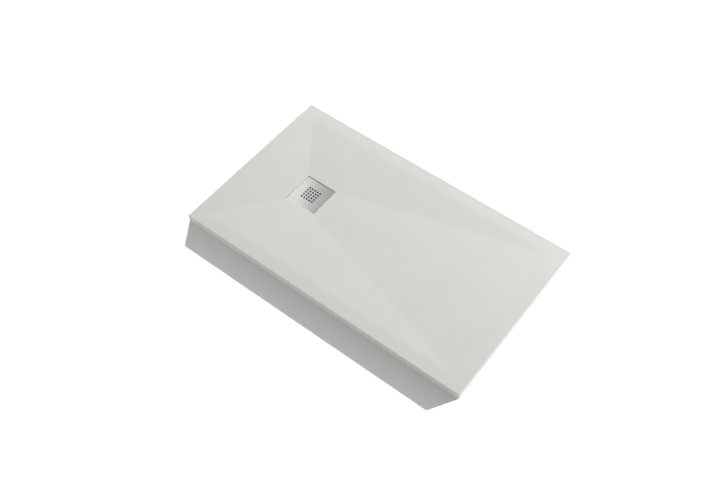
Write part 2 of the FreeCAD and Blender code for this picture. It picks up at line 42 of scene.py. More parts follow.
# Sizes of the object in millimetres, as in the CAD model.
TRAY_LENGTH, TRAY_WIDTH, TRAY_HEIGHT = 1200.0, 700.0, 30.0
TRAY_CORNER = 2.0
RIM_WIDTH = 50.0
DRAIN_X = -310.0
RECESS_WIDTH, RECESS_CORNER = 132.0, 5.0
FOOT_LEVEL, RECESS_LEVEL, SEAT_LEVEL = 22.0, 13.0, 9.0
SEAT_RADIUS, HOLE_RADIUS, LAND_RADIUS, LAND_DEPTH = 58.0, 45.0, 70.0, 1.0
GRATE_WIDTH, GRATE_CORNER, GRATE_LEVEL, GRATE_LIP = 130.0, 4.0, 21.0, 15.5
GRATE_SHEET, PITCH, HOLE_WIDTH, HOLE_CORNER = 1.5, 12.1, 7.0, 1.3
SCREW_CIRCLE, SCREW_RADIUS, SCREW_HEAD_RADIUS = 39.0, 2.0, 3.5
FLANGE_LEVEL, SCREW_LENGTH, SCREW_HEAD_HEIGHT = 13.0, 12.0, 2.2
OUTLET_LEVEL, SPIGOT_RADIUS, BOWL_RADIUS = -32.0, 23.9, 54.0
NUT_END, NUT_LENGTH, NUT_RADIUS = 94.4, 20.4, 27.1
NUT_HOLE, NUT_BORE, NUT_SHOULDER = 20.6, 24.1, 2.5


# ---------------------------------------------------------------- mesh helpers


class Shape:
    """Points and faces of one mesh, in millimetres."""

    def __init__(self):
        self.points = []
        self.faces = []

    def loop(self, points):
        """Adds a closed loop of points and gives their indices."""
        first = len(self.points)
        self.points.extend(points)
        return list(range(first, len(self.points)))

    def bridge(self, first, second):
        """Joins two loops of the same number of points with quads."""
        count = len(first)
        for i in range(count):
            j = (i + 1) % count
            self.faces.append((first[i], first[j], second[j], second[i]))

    def skin(self, loops):
        """Adds loops, joins each to the next, and gives the first and the last."""
        rings = [self.loop(points) for points in loops]
        for first, second in zip(rings, rings[1:]):
            self.bridge(first, second)
        return rings[0], rings[-1]

    def zip_level(self, outer, inner, centre, up):
        """Fills the flat ring between two loops that both go round the centre."""

        def by_angle(ring):
            def angle(i):
                x, y = self.points[i][:2]
                return math.atan2(y - centre[1], x - centre[0])

            return sorted((angle(i), i) for i in ring)

        a, b = by_angle(outer), by_angle(inner)
        a.append((a[0][0] + 2 * math.pi, a[0][1]))
        b.append((b[0][0] + 2 * math.pi, b[0][1]))
        i = j = 0
        while i < len(a) - 1 or j < len(b) - 1:
            inner_done, outer_left = j == len(b) - 1, i < len(a) - 1
            if inner_done or (outer_left and a[i + 1][0] < b[j + 1][0]):
                face = (a[i][1], a[i + 1][1], b[j][1])
                i += 1
            else:
                face = (a[i][1], b[j + 1][1], b[j][1])
                j += 1
            self.faces.append(face if up else face[::-1])

    def cap(self, ring, up=True):
        """Fills a loop with one flat face."""
        self.faces.append(tuple(ring if up else ring[::-1]))

    def orient(self):
        """Turns every face of a closed shape outwards."""
        mesh = bmesh.new()
        verts = [mesh.verts.new(p) for p in self.points]
        for face in self.faces:
            mesh.faces.new([verts[i] for i in face])
        bmesh.ops.recalc_face_normals(mesh, faces=mesh.faces)
        mesh.verts.index_update()
        self.faces = [tuple(v.index for v in face.verts) for face in mesh.faces]
        mesh.free()

    def mesh(self, name):
        """The shape as a Blender mesh, in metres."""
        mesh = bpy.data.meshes.new(name)
        points = [tuple(c * MM for c in p) for p in self.points]
        mesh.from_pydata(points, [], self.faces)
        return mesh

    def build(self, name, material, body, replaces=(), sharp_angle=35.0):
        """Makes the piece, smooth but for edges over the angle, and places it."""
        mesh = self.mesh(name)
        mesh.validate()
        mesh.shade_smooth()
        mesh.set_sharp_from_angle(angle=math.radians(sharp_angle))
        mesh.materials.append(material)
        piece = bpy.data.objects.new(name, mesh)
        bpy.context.scene.collection.objects.link(piece)
        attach(piece, body)
        if replaces:
            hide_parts(*replaces)
        return piece


def circle(radius, level, count, centre):
    """Evenly spaced points of a level circle."""
    step = 2 * math.pi / count
    x, y = centre
    return [
        (x + radius * math.cos(i * step), y + radius * math.sin(i * step), level)
        for i in range(count)
    ]


def turned(profile, count, centre):
    """Loops of a profile of (radius, level) turned about an upright axis."""
    return [circle(radius, level, count, centre) for radius, level in profile]


def outlet_point(radius, angle, along):
    """A point about the outlet's level axis, at a distance from the drain's axis."""
    y, z = radius * math.cos(angle), OUTLET_LEVEL + radius * math.sin(angle)
    return (DRAIN_X - along, y, z)


def spread(start, end, count):
    """Evenly spaced numbers from start to end, in that many steps."""
    return [start + (end - start) * i / count for i in range(count + 1)]


def quarter(radius, steps):
    """Pairs (inwards, down) along a quarter round of that radius, flat to upright."""
    return [
        (radius * (1 - math.sin(angle)), radius * (1 - math.cos(angle)))
        for angle in spread(0, math.pi / 2, steps)
    ]


# The corners of a loop that runs against the clock: the side of the middle that each
# lies on, the way the loop arrives there, and the way it leaves.
CORNERS = (
    ((1, 1), (0, 1), (-1, 0)),
    ((-1, 1), (-1, 0), (0, -1)),
    ((-1, -1), (0, -1), (1, 0)),
    ((1, -1), (1, 0), (0, 1)),
)
# Distances from a corner, along each side, at which a loop has its close points.
CORNER_OFFSETS = (0.0, 0.7, 1.4, 2.0, 3.0, 4.5, 6.0, 8.0, 10.5, 14.0, 19.0, 27.0, 40.0)
LONG_STEPS, SHORT_STEPS = 22, 12


def corner_point(cx, cy, arriving, leaving, offset, radius):
    """The point at a distance along the line round a corner, which may be rounded."""
    if abs(offset) >= radius:
        way = arriving if offset < 0 else leaving
        return (cx + way[0] * offset, cy + way[1] * offset)
    angle = (offset / radius + 1) * math.pi / 4
    back, ahead = radius * math.cos(angle), radius * math.sin(angle)
    return tuple(
        corner + (leaving[axis] - arriving[axis]) * radius
        - leaving[axis] * back + arriving[axis] * ahead
        for axis, corner in enumerate((cx, cy))
    )


def rounded_rectangle(x0, x1, y0, y1, radius):
    """A loop with close points at its corners, the same number for every size."""
    points = []
    far = CORNER_OFFSETS[-1]
    for (right, back), arriving, leaving in CORNERS:
        cx, cy = x1 if right > 0 else x0, y1 if back > 0 else y0
        for offset in [-o for o in CORNER_OFFSETS[:0:-1]] + list(CORNER_OFFSETS):
            points.append(corner_point(cx, cy, arriving, leaving, offset, radius))
        along_x = leaving[1] == 0
        length = x1 - x0 if along_x else y1 - y0
        steps = LONG_STEPS if along_x else SHORT_STEPS
        for distance in spread(far, length - far, steps)[1:-1]:
            points.append((cx + leaving[0] * distance, cy + leaving[1] * distance))
    return points


def grown(box, by):
    """A rectangle (x0, x1, y0, y1) with each side moved outwards."""
    return (box[0] - by, box[1] + by, box[2] - by, box[3] + by)


def level_loop(box, corner, level):
    """A rounded rectangle of points at one level."""
    return [(x, y, level) for x, y in rounded_rectangle(*box, corner)]


# ------------------------------------------------------------ material helpers

# A noise hardly leaves this range, so its colours and roughness are spread over it.
NOISE_LOW, NOISE_HIGH = 0.35, 0.65


def new_tree(owner):
    """The emptied node tree of a material or a world."""
    owner.use_nodes = True
    owner.node_tree.nodes.clear()
    return owner.node_tree


class Material:
    """A node material about one Principled shader."""

    def __init__(self, name, metallic=0.0, specular=0.5):
        self.material = bpy.data.materials.new(name)
        self.tree = new_tree(self.material)
        output = self.tree.nodes.new("ShaderNodeOutputMaterial")
        self.shader = self.tree.nodes.new("ShaderNodeBsdfPrincipled")
        self.shader.inputs["Metallic"].default_value = metallic
        self.shader.inputs["Specular IOR Level"].default_value = specular
        self.tree.links.new(self.shader.outputs["BSDF"], output.inputs["Surface"])
        self.place = self.tree.nodes.new("ShaderNodeTexCoord").outputs["Object"]

    def stretched(self, scale):
        """The object's own coordinates, scaled along each axis."""
        node = self.tree.nodes.new("ShaderNodeMapping")
        node.inputs["Scale"].default_value = scale
        self.tree.links.new(self.place, node.inputs["Vector"])
        return node.outputs["Vector"]

    def noise(self, scale=1.0, detail=2.0, roughness=0.5, vector=None):
        node = self.tree.nodes.new("ShaderNodeTexNoise")
        node.inputs["Scale"].default_value = scale
        node.inputs["Detail"].default_value = detail
        node.inputs["Roughness"].default_value = roughness
        self.tree.links.new(vector or self.place, node.inputs["Vector"])
        return node.outputs["Fac"]

    def colours(self, value, dark, light):
        """Blends two colours by a noise, and paints the shader with them."""
        ramp = self.tree.nodes.new("ShaderNodeValToRGB")
        first, last = ramp.color_ramp.elements
        first.position, first.color = NOISE_LOW, (*dark, 1.0)
        last.position, last.color = NOISE_HIGH, (*light, 1.0)
        self.tree.links.new(value, ramp.inputs["Fac"])
        self.tree.links.new(ramp.outputs["Color"], self.shader.inputs["Base Color"])

    def rough(self, value, low, high):
        """Spreads the shader's roughness over a range by a noise."""
        node = self.tree.nodes.new("ShaderNodeMapRange")
        node.inputs["From Min"].default_value = NOISE_LOW
        node.inputs["From Max"].default_value = NOISE_HIGH
        node.inputs["To Min"].default_value = low
        node.inputs["To Max"].default_value = high
        self.tree.links.new(value, node.inputs["Value"])
        self.tree.links.new(node.outputs["Result"], self.shader.inputs["Roughness"])

    def bumps(self, *layers):
        """Chains bumps of (height, strength, distance in metres) into the shader."""
        normal = None
        for height, strength, distance in layers:
            node = self.tree.nodes.new("ShaderNodeBump")
            node.inputs["Strength"].default_value = strength
            node.inputs["Distance"].default_value = distance
            self.tree.links.new(height, node.inputs["Height"])
            if normal is not None:
                self.tree.links.new(normal, node.inputs["Normal"])
            normal = node.outputs["Normal"]
        self.tree.links.new(normal, self.shader.inputs["Normal"])


def gel_coat():
    """Satin gel coat: warm grey-white, faintly clouded, with a slight orange peel."""
    m = Material("gel_coat", specular=0.42)
    cloud = m.noise(scale=7.0, detail=4.0)
    m.colours(cloud, dark=(0.605, 0.613, 0.578), light=(0.619, 0.626, 0.592))
    m.rough(m.noise(scale=38.0, detail=3.0), low=0.40, high=0.48)
    peel = m.noise(scale=420.0, detail=1.0)
    grain = m.noise(scale=2600.0, detail=1.0)
    m.bumps((peel, 0.06, 0.0002), (grain, 0.05, 0.00005))
    return m.material


def satin_steel():
    """Stainless sheet with a fine lengthwise brushing and faint handling marks."""
    m = Material("satin_steel", metallic=1.0)
    brushed = m.noise(detail=3.0, vector=m.stretched((60.0, 3400.0, 3400.0)))
    smear = m.noise(scale=30.0, detail=4.0)
    m.colours(smear, dark=(0.765, 0.755, 0.76), light=(0.81, 0.80, 0.80))
    m.rough(brushed, low=0.08, high=0.13)
    m.bumps((brushed, 0.05, 0.00004), (smear, 0.03, 0.0003))
    return m.material


def turned_brass():
    """Brass with the marks of turning round it, unevenly tarnished."""
    m = Material("turned_brass", metallic=1.0)
    turning = m.noise(vector=m.stretched((500.0, 500.0, 4200.0)))
    tarnish = m.noise(scale=260.0, detail=4.0)
    m.colours(tarnish, dark=(0.50, 0.35, 0.13), light=(0.72, 0.55, 0.27))
    m.rough(turning, low=0.24, high=0.40)
    m.bumps((turning, 0.12, 0.00006))
    return m.material


def black_rubber():
    """Moulded rubber: near black, matte, with a bloom and a fine pebble."""
    m = Material("black_rubber", specular=0.35)
    bloom = m.noise(scale=90.0, detail=5.0, roughness=0.6)
    m.colours(bloom, dark=(0.016, 0.016, 0.018), light=(0.045, 0.045, 0.048))
    m.rough(m.noise(scale=400.0, detail=3.0), low=0.62, high=0.80)
    pebble = m.noise(scale=2400.0)
    m.bumps((pebble, 0.25, 0.00008), (bloom, 0.08, 0.0002))
    return m.material


def moulded_plastic(name, dark, light, low, high):
    """Moulded plastic: even colour, faint flow marks and a spark-eroded grain."""
    m = Material(name, specular=0.45)
    flow = m.noise(detail=4.0, vector=m.stretched((60.0, 60.0, 22.0)))
    m.colours(flow, dark, light)
    m.rough(m.noise(scale=140.0, detail=3.0), low, high)
    grain = m.noise(scale=3000.0)
    m.bumps((grain, 0.12, 0.00006), (flow, 0.06, 0.0004))
    return m.material


GEL_COAT = gel_coat()
STEEL = satin_steel()
BRASS = turned_brass()
RUBBER = black_rubber()
WHITE_PLASTIC = moulded_plastic(
    "white_polypropylene",
    dark=(0.70, 0.71, 0.70), light=(0.76, 0.77, 0.765), low=0.30, high=0.42,
)
GREY_PLASTIC = moulded_plastic(
    "grey_polypropylene",
    dark=(0.235, 0.25, 0.265), light=(0.275, 0.29, 0.305), low=0.34, high=0.46,
)


# ------------------------------------------------------------------- the tray

INNER = (RIM_WIDTH - TRAY_LENGTH / 2, TRAY_LENGTH / 2 - RIM_WIDTH,
         RIM_WIDTH - TRAY_WIDTH / 2, TRAY_WIDTH / 2 - RIM_WIDTH)
HALF_RECESS = RECESS_WIDTH / 2
RECESS = (DRAIN_X - HALF_RECESS, DRAIN_X + HALF_RECESS, -HALF_RECESS, HALF_RECESS)
RISE = TRAY_HEIGHT - FOOT_LEVEL

# CREASE is how softly the falls and the rim meet. FAR_CREASES is how many of them past
# the rim's inner line the rounding is too small to matter.
CREASE, FAR_CREASES = 0.085, 30.0
# Radii and steps of the rolled edges: the rim's outer one, the underside's, the foot of
# the falls, and the recess's floor.
EDGE_ROLL, EDGE_STEPS = 1.2, 5
UNDER_ROLL, UNDER_STEPS = 0.6, 3
FOOT_ROLL, FLOOR_ROLL, RECESS_STEPS = 0.15, 1.5, 4
# Added to the radius of the tray's corners, to look as they do in the photograph.
ROUNDER = 0.4
# The middle point of a small rolled edge lies this share of its radius from the corner.
MIDWAY = 0.3
# Where the basin's loops lie, from the recess outwards: this far out from it, rounded
# as it is; then further out, with these fading corners; then in even steps up the
# falls, as far as FALL_END from the rim's inner line; and this far out from that line.
NEAR_RECESS = (FOOT_ROLL, FOOT_ROLL + 0.2, 1.6, 3.0, 6.0)
FADING_CORNERS = ((10.0, 9.0), (16.0, 4.0), (24.0, 0.0))
FALL_STEPS, FALL_END = 18, -20.0
NEAR_RIM = (-13.0, -9.0, -6.0, -4.0, -2.5, -1.2, 0.0, 1.2, 2.5, 4.0, 6.0, 9.0,
            14.0, 22.0, 34.0, 44.0, RIM_WIDTH - EDGE_ROLL - 0.3)
# Levels of the loops down the tray's outer wall and the recess's wall.
WALL_LEVELS = (24.0, 16.0, 8.0, 2.0)
RECESS_LEVELS = (19.0, 16.5, 15.0)
DRAIN_COUNT = 160


def basin_level(x, y):
    """Height of the four falls and the rim, with softly rounded hips and creases."""
    falls = (
        FOOT_LEVEL + RISE * (RECESS[0] - x) / (RECESS[0] - INNER[0]),
        FOOT_LEVEL + RISE * (x - RECESS[1]) / (INNER[1] - RECESS[1]),
        FOOT_LEVEL + RISE * (RECESS[2] - y) / (RECESS[2] - INNER[2]),
        FOOT_LEVEL + RISE * (y - RECESS[3]) / (INNER[3] - RECESS[3]),
    )
    top = max(falls)
    fall = top + CREASE * math.log(sum(math.exp((f - top) / CREASE) for f in falls))
    past = (fall - TRAY_HEIGHT) / CREASE
    if past > FAR_CREASES:
        return TRAY_HEIGHT
    return fall - CREASE * math.log1p(math.exp(past))


def basin_loops():
    """Loops from the recess's edge over the falls and the rim to the outer edge."""
    plans = [(grown(RECESS, out), RECESS_CORNER + out) for out in NEAR_RECESS]
    plans += [(grown(RECESS, out), corner) for out, corner in FADING_CORNERS]
    start, end = grown(RECESS, FADING_CORNERS[-1][0]), grown(INNER, FALL_END)
    for share in spread(0.0, 1.0, FALL_STEPS)[1:]:
        plans.append((tuple(a + (b - a) * share for a, b in zip(start, end)), 0.0))
    plans += [(grown(INNER, out), 0.0) for out in NEAR_RIM]
    loops = []
    for box, corner in plans:
        plan = rounded_rectangle(*box, corner)
        loops.append([(x, y, basin_level(x, y)) for x, y in plan])
    for inwards, down in quarter(EDGE_ROLL, EDGE_STEPS):
        corner = max(TRAY_CORNER - inwards, 0.0) + ROUNDER
        box = grown(INNER, RIM_WIDTH - inwards)
        loops.append(level_loop(box, corner, TRAY_HEIGHT - down))
    return loops


def outer_wall_loops():
    """Loops down the tray's outer wall and round its lower edge."""
    steps = [(0.0, level) for level in WALL_LEVELS]
    steps += reversed(quarter(UNDER_ROLL, UNDER_STEPS))
    outline = grown(INNER, RIM_WIDTH)
    return [
        level_loop(grown(outline, -inwards), TRAY_CORNER + ROUNDER - inwards, level)
        for inwards, level in steps
    ]


def recess_loops():
    """Loops from just inside the basin's edge down the recess's wall to its floor."""
    loops = []
    for out, down in quarter(FOOT_ROLL, RECESS_STEPS)[1:]:
        box = grown(RECESS, out)
        loops.append(level_loop(box, RECESS_CORNER + out, FOOT_LEVEL - down))
    for level in RECESS_LEVELS:
        loops.append(level_loop(RECESS, RECESS_CORNER, level))
    for inwards, up in reversed(quarter(FLOOR_ROLL, RECESS_STEPS)):
        box = grown(RECESS, -inwards)
        loops.append(level_loop(box, RECESS_CORNER - inwards, RECESS_LEVEL + up))
    return loops


def drain_profile():
    """Radius and level round the drain, from the recess's floor to the underside.

    Each edge is rolled or chamfered by its own small radius.
    """
    brink, seat, land, under = 0.5, 0.6, 0.4, 0.3
    return [
        (SEAT_RADIUS + brink, RECESS_LEVEL),
        (SEAT_RADIUS + brink * MIDWAY, RECESS_LEVEL - brink * MIDWAY),
        (SEAT_RADIUS, RECESS_LEVEL - brink),
        (SEAT_RADIUS, SEAT_LEVEL + seat),
        (SEAT_RADIUS - seat, SEAT_LEVEL),
        (HOLE_RADIUS + seat, SEAT_LEVEL),
        (HOLE_RADIUS + seat * MIDWAY, SEAT_LEVEL - seat * MIDWAY),
        (HOLE_RADIUS, SEAT_LEVEL - seat),
        (HOLE_RADIUS, LAND_DEPTH + land),
        (HOLE_RADIUS + land, LAND_DEPTH),
        (LAND_RADIUS, LAND_DEPTH),
        (LAND_RADIUS, under),
        (LAND_RADIUS + under, 0.0),
    ]


def tray_casting():
    """The tray: basin and rim, outer wall, recess, and the drain's stepped hole."""
    shape = Shape()
    centre = (DRAIN_X, 0.0)
    inner_basin, outer_edge = shape.skin(basin_loops())
    wall_top, wall_foot = shape.skin(outer_wall_loops())
    shape.bridge(outer_edge, wall_top)
    recess_top, recess_floor = shape.skin(recess_loops())
    shape.bridge(recess_top, inner_basin)
    brink, land_edge = shape.skin(turned(drain_profile(), DRAIN_COUNT, centre))
    shape.zip_level(recess_floor, brink, centre, up=True)
    shape.zip_level(wall_foot, land_edge, centre, up=False)
    shape.orient()
    shape.build("tray_casting", GEL_COAT, "tray", ["tray_slab"])


tray_casting()


# ------------------------------------------------------------------- the grate

HOLES = 5
GRATE_CROWN = 0.8
GRATE_BEND, BEND_STEPS = 2.5, 8
# The corner's radius shrinks by this over the bend, from the rim to the flat top.
CORNER_SHRINK = 2.0
# Radius of a hole's rolled edge, and the width of the ring of sheet round it.
HOLE_ROLL, HOLE_APRON = 0.12, 0.25
# A loop of the plate has these steps along each side, and these in half of a corner.
SIDE_STEPS, CORNER_STEPS = HOLES * 4, 4
# Steps of the flat plate, from the field of holes to the bend.
FLAT_STEPS = 8
LIP_ROLL = 0.4
GRATE_SHARP = 50.0


def grate_level(x, y):
    """The pressed sheet is crowned: highest at its middle, lower towards its edges."""
    half = GRATE_WIDTH / 2
    u, v = x / half, y / half
    return -GRATE_CROWN * (u * u + v * v) / 2


def four_turns(cx, cy, side):
    """The points of one side, repeated in quarter turns round a middle."""
    points = []
    for turn in range(4):
        angle = turn * math.pi / 2
        ux, uy = math.cos(angle), math.sin(angle)
        points += [(cx + ux * a - uy * b, cy + uy * a + ux * b) for a, b in side]
    return points


def hole_loop(cx, cy, wider):
    """16 points round a hole, moved outwards, from the middle of its right side."""
    half, corner = HOLE_WIDTH / 2 + wider, HOLE_CORNER + wider
    arc = half - corner
    across, along = corner * math.cos(math.pi / 4), corner * math.sin(math.pi / 4)
    side = ((half, 0.0), (half, arc), (arc + across, arc + along), (arc, half))
    return four_turns(cx, cy, side)


def cell_loop(cx, cy):
    """16 points round a cell of the field, opposite those of its hole."""
    half = PITCH / 2
    side = ((half, 0.0), (half, half / 2), (half, half), (half / 2, half))
    return four_turns(cx, cy, side)


def field_edge():
    """Points round the whole field, in order, as the cells have them."""
    half = PITCH * HOLES / 2
    side = spread(-half, half, SIDE_STEPS)[:-1]
    right = [(half, t) for t in side]
    back = [(-t, half) for t in side]
    left = [(-half, -t) for t in side]
    front = [(t, -half) for t in side]
    return right + back + left + front


def plate_edge(width, corner):
    """As many points as the field's edge has, close together at rounded corners."""
    half = width / 2
    near = spread(0.0, corner, CORNER_STEPS)
    middle = spread(corner, width - corner, SIDE_STEPS - 2 * CORNER_STEPS)[1:-1]
    side = near + middle + [width - d for d in reversed(near)][:-1]
    points = []
    for index in range(4):
        (x, y), arriving, leaving = CORNERS[index - 1]
        (next_x, next_y), _, after = CORNERS[index]
        for distance in side:
            if distance <= half:
                place = (x * half, y * half, arriving, leaving, distance)
            else:
                place = (next_x * half, next_y * half, leaving, after, distance - width)
            points.append(corner_point(*place, corner))
    return points


def sheet_side(shape, top, lower):
    """One side of the sheet: the perforated field and the flat plate round it.

    The holes' edges roll downwards where lower is 1, and upwards where it is -1.
    """

    def raised(points, down=0.0):
        return [
            (DRAIN_X + x, y, top + grate_level(x, y) - lower * down) for x, y in points
        ]

    shared = {}

    def index_of(x, y):
        """The point at a place of the field, made once for all cells that share it."""
        key = (round(x, 4), round(y, 4))
        if key not in shared:
            shared[key] = len(shape.points)
            shape.points.extend(raised([(x, y)]))
        return shared[key]

    rims = []
    middle, midway = (HOLES - 1) / 2, HOLE_ROLL * MIDWAY
    for row in range(HOLES):
        for column in range(HOLES):
            cx, cy = (column - middle) * PITCH, (row - middle) * PITCH
            rings = [
                [index_of(x, y) for x, y in cell_loop(cx, cy)],
                shape.loop(raised(hole_loop(cx, cy, HOLE_ROLL + HOLE_APRON))),
                shape.loop(raised(hole_loop(cx, cy, HOLE_ROLL))),
                shape.loop(raised(hole_loop(cx, cy, midway), midway)),
                shape.loop(raised(hole_loop(cx, cy, 0.0), HOLE_ROLL)),
            ]
            for first, second in zip(rings, rings[1:]):
                shape.bridge(first, second)
            rims.append(rings[-1])
    flat = plate_edge(GRATE_WIDTH - 2 * GRATE_BEND, GRATE_CORNER - CORNER_SHRINK)
    loops = []
    for share in spread(0.0, 1.0, FLAT_STEPS)[1:]:
        loops.append(raised([
            (a[0] + (b[0] - a[0]) * share, a[1] + (b[1] - a[1]) * share)
            for a, b in zip(field_edge(), flat)
        ]))
    first, last = shape.skin(loops)
    shape.bridge([index_of(x, y) for x, y in field_edge()], first)
    return rims, last


def bend_loops():
    """Loops round the bend from the crowned top to the upright rim."""
    loops = []
    for angle in spread(0.0, math.pi / 2, BEND_STEPS)[1:]:
        inwards = 1 - math.sin(angle)
        width = GRATE_WIDTH - 2 * GRATE_BEND * inwards
        sag = grate_level(width / 2, 0.0)
        level = GRATE_LEVEL + sag - GRATE_BEND * (1 - math.cos(angle))
        fade = 1.0 - angle / (math.pi / 2)
        loops.append([
            (DRAIN_X + x, y, level + (grate_level(x, y) - sag) * fade)
            for x, y in plate_edge(width, GRATE_CORNER - CORNER_SHRINK * inwards)
        ])
    return loops


def lip_loops():
    """Loops round the rim's lower edge, from its outside to its inside."""
    inner_width = GRATE_WIDTH - 2 * GRATE_SHEET
    inner_corner = GRATE_CORNER - GRATE_SHEET
    narrower, tighter = 0.5, 0.25
    lip = (
        (GRATE_WIDTH, GRATE_CORNER, GRATE_LIP + LIP_ROLL),
        (GRATE_WIDTH - narrower, GRATE_CORNER - tighter, GRATE_LIP),
        (inner_width + narrower, inner_corner + tighter, GRATE_LIP),
        (inner_width, inner_corner, GRATE_LIP + LIP_ROLL),
    )
    return [
        [(DRAIN_X + x, y, level) for x, y in plate_edge(width, corner)]
        for width, corner, level in lip
    ]


def grate():
    """The drain's plate: crowned sheet with 25 square holes and a turned-down rim."""
    shape = Shape()
    upper_rims, upper_edge = sheet_side(shape, GRATE_LEVEL, lower=1.0)
    lower_rims, lower_edge = sheet_side(shape, GRATE_LEVEL - GRATE_SHEET, lower=-1.0)
    for upper, lower in zip(upper_rims, lower_rims):
        shape.bridge(upper, lower)
    edge_start, edge_end = shape.skin(bend_loops() + lip_loops())
    shape.bridge(upper_edge, edge_start)
    shape.bridge(edge_end, lower_edge)
    shape.orient()
    shape.build(
        "grate_sheet", STEEL, "grate", ["grate_plate"], GRATE_SHARP
    )


grate()


# ------------------------------------------------------------ screws of the flange

SCREWS, SCREW_COUNT, SCREW_SHARP = 4, 24, 32.0
TIP_RADIUS, TIP_LENGTH, PLAIN_LENGTH = 0.9, 0.5, 1.0
THREAD_PITCH, THREAD_DEPTH = 0.7, 0.3
# The thread ends and the plain neck starts this far below the head's seat.
THREAD_STOP, NECK_LENGTH = 0.4, 0.2
# The crest of a thread lies between these shares of its pitch.
CREST_START, CREST_END = 0.4, 0.55
SLOT_WIDTH, SLOT_DEPTH, SLOT_OVERRUN = 1.0, 1.1, 1.0
HEAD_SEAT = FLANGE_LEVEL + 0.05
HEAD_TOP = FLANGE_LEVEL + SCREW_HEAD_HEIGHT
# The pan head's outline: inwards from its radius, and up from its seat.
HEAD_OUTLINE = ((0.15, 0.0), (0.0, 0.15), (0.0, 0.8), (0.25, 1.35), (0.8, 1.8))
# Its crown: inwards from its radius, and down from its top.
HEAD_CROWN = ((1.7, 0.05), (2.6, 0.0))


def screw_profile():
    """Radius and level of a screw, from its tip to the middle of its head."""
    base = FLANGE_LEVEL - SCREW_LENGTH
    root = SCREW_RADIUS - THREAD_DEPTH
    profile = [(TIP_RADIUS, base)]
    turns = int((SCREW_LENGTH - TIP_LENGTH - PLAIN_LENGTH) / THREAD_PITCH)
    for index in range(turns):
        level = base + TIP_LENGTH + index * THREAD_PITCH
        profile += [
            (root, level),
            (SCREW_RADIUS, level + THREAD_PITCH * CREST_START),
            (SCREW_RADIUS, level + THREAD_PITCH * CREST_END),
        ]
    profile += [
        (root, HEAD_SEAT - THREAD_STOP),
        (SCREW_RADIUS, HEAD_SEAT - NECK_LENGTH),
        (SCREW_RADIUS, HEAD_SEAT),
    ]
    profile += [(SCREW_HEAD_RADIUS - a, HEAD_SEAT + up) for a, up in HEAD_OUTLINE]
    profile += [(SCREW_HEAD_RADIUS - a, HEAD_TOP - down) for a, down in HEAD_CROWN]
    return profile


def at_screw(turn, points):
    """Moves points from a screw's own axis to its place round the drain."""
    angle = turn * 2 * math.pi / SCREWS
    ca, sa = math.cos(angle), math.sin(angle)
    moved = [(x + SCREW_CIRCLE, y, z) for x, y, z in points]
    return [(DRAIN_X + x * ca - y * sa, x * sa + y * ca, z) for x, y, z in moved]


def flange_screws():
    """Pan-head screws: domed heads with a slot, and a threaded shank."""
    screw = Shape()
    first, last = screw.skin(turned(screw_profile(), SCREW_COUNT, (0.0, 0.0)))
    screw.cap(first, up=False)
    screw.cap(last)
    screw.orient()
    shape = Shape()
    for turn in range(SCREWS):
        ring = shape.loop(at_screw(turn, screw.points))
        shape.faces += [tuple(ring[i] for i in face) for face in screw.faces]
    piece = shape.build(
        "flange_screw_set", STEEL, "tray", ["flange_screws"], SCREW_SHARP
    )
    cut_slots(piece)


def cut_slots(piece):
    """Cuts the driver slots across the heads, towards the drain's axis."""
    cutter = Shape()
    reach, half = SCREW_HEAD_RADIUS + SLOT_OVERRUN, SLOT_WIDTH / 2
    corners = [(-reach, -half), (reach, -half), (reach, half), (-reach, half)]
    for turn in range(SCREWS):
        lower, upper = [
            cutter.loop(at_screw(turn, [(x, y, level) for x, y in corners]))
            for level in (HEAD_TOP - SLOT_DEPTH, HEAD_TOP + SLOT_OVERRUN)
        ]
        cutter.bridge(lower, upper)
        cutter.cap(lower, up=False)
        cutter.cap(upper)
    tool = bpy.data.objects.new("slot_cutter", cutter.mesh("slot_cutter"))
    bpy.context.scene.collection.objects.link(tool)
    cut = piece.modifiers.new("slots", "BOOLEAN")
    cut.operation, cut.solver, cut.object = "DIFFERENCE", "EXACT", tool
    graph = bpy.context.evaluated_depsgraph_get()
    slotted = piece.evaluated_get(graph)
    result = bpy.data.meshes.new_from_object(slotted, depsgraph=graph)
    piece.modifiers.clear()
    piece.data = result
    piece.data.set_sharp_from_angle(angle=math.radians(SCREW_SHARP))
    bpy.data.objects.remove(tool)


flange_screws()


# ---------------------------------------------------------- outlet nut and thread

RIBS, PER_RIB = 24, 8
# How far the ribs stand out from the nut's collars, in full and at their ends.
RIB_HEIGHT, RIB_SHOULDER = 1.0, 0.6
COLLAR_RADIUS = NUT_RADIUS - 1.1
# Distances from the nut's inner end, and from its outer one: the collar's edges, and
# where the ribs begin and are full.
INNER_COLLAR, INNER_RIBS = (0.5, 1.6), (2.2, 3.0)
OUTER_COLLAR, OUTER_RIBS = (1.2, 2.6), (3.2, 4.2)
# The turned outer end: inwards from the collar, and back from the end.
NUT_TURNED = ((0.1, OUTER_COLLAR[0]), (0.8, 0.3), (1.8, 0.0))
NUT_CHAMFER, BORE_CHAMFER, HOLE_CHAMFER = 0.5, 0.4, 0.5
NUT_SHARP = 40.0
THREAD_TURNS, PER_TURN, TURN_PITCH = 4.2, 72, 3.5
THREAD_START = BOWL_RADIUS + 3.2
# The thread is sunk this far in the spigot, and runs out over this many steps.
THREAD_SUNK, RUN_OUT = 0.25, 14.0
# Its section: along the axis, and out from the spigot.
THREAD_SECTION = (
    (-1.1, -THREAD_SUNK), (-0.45, 0.75), (0.45, 0.75), (1.1, -THREAD_SUNK)
)


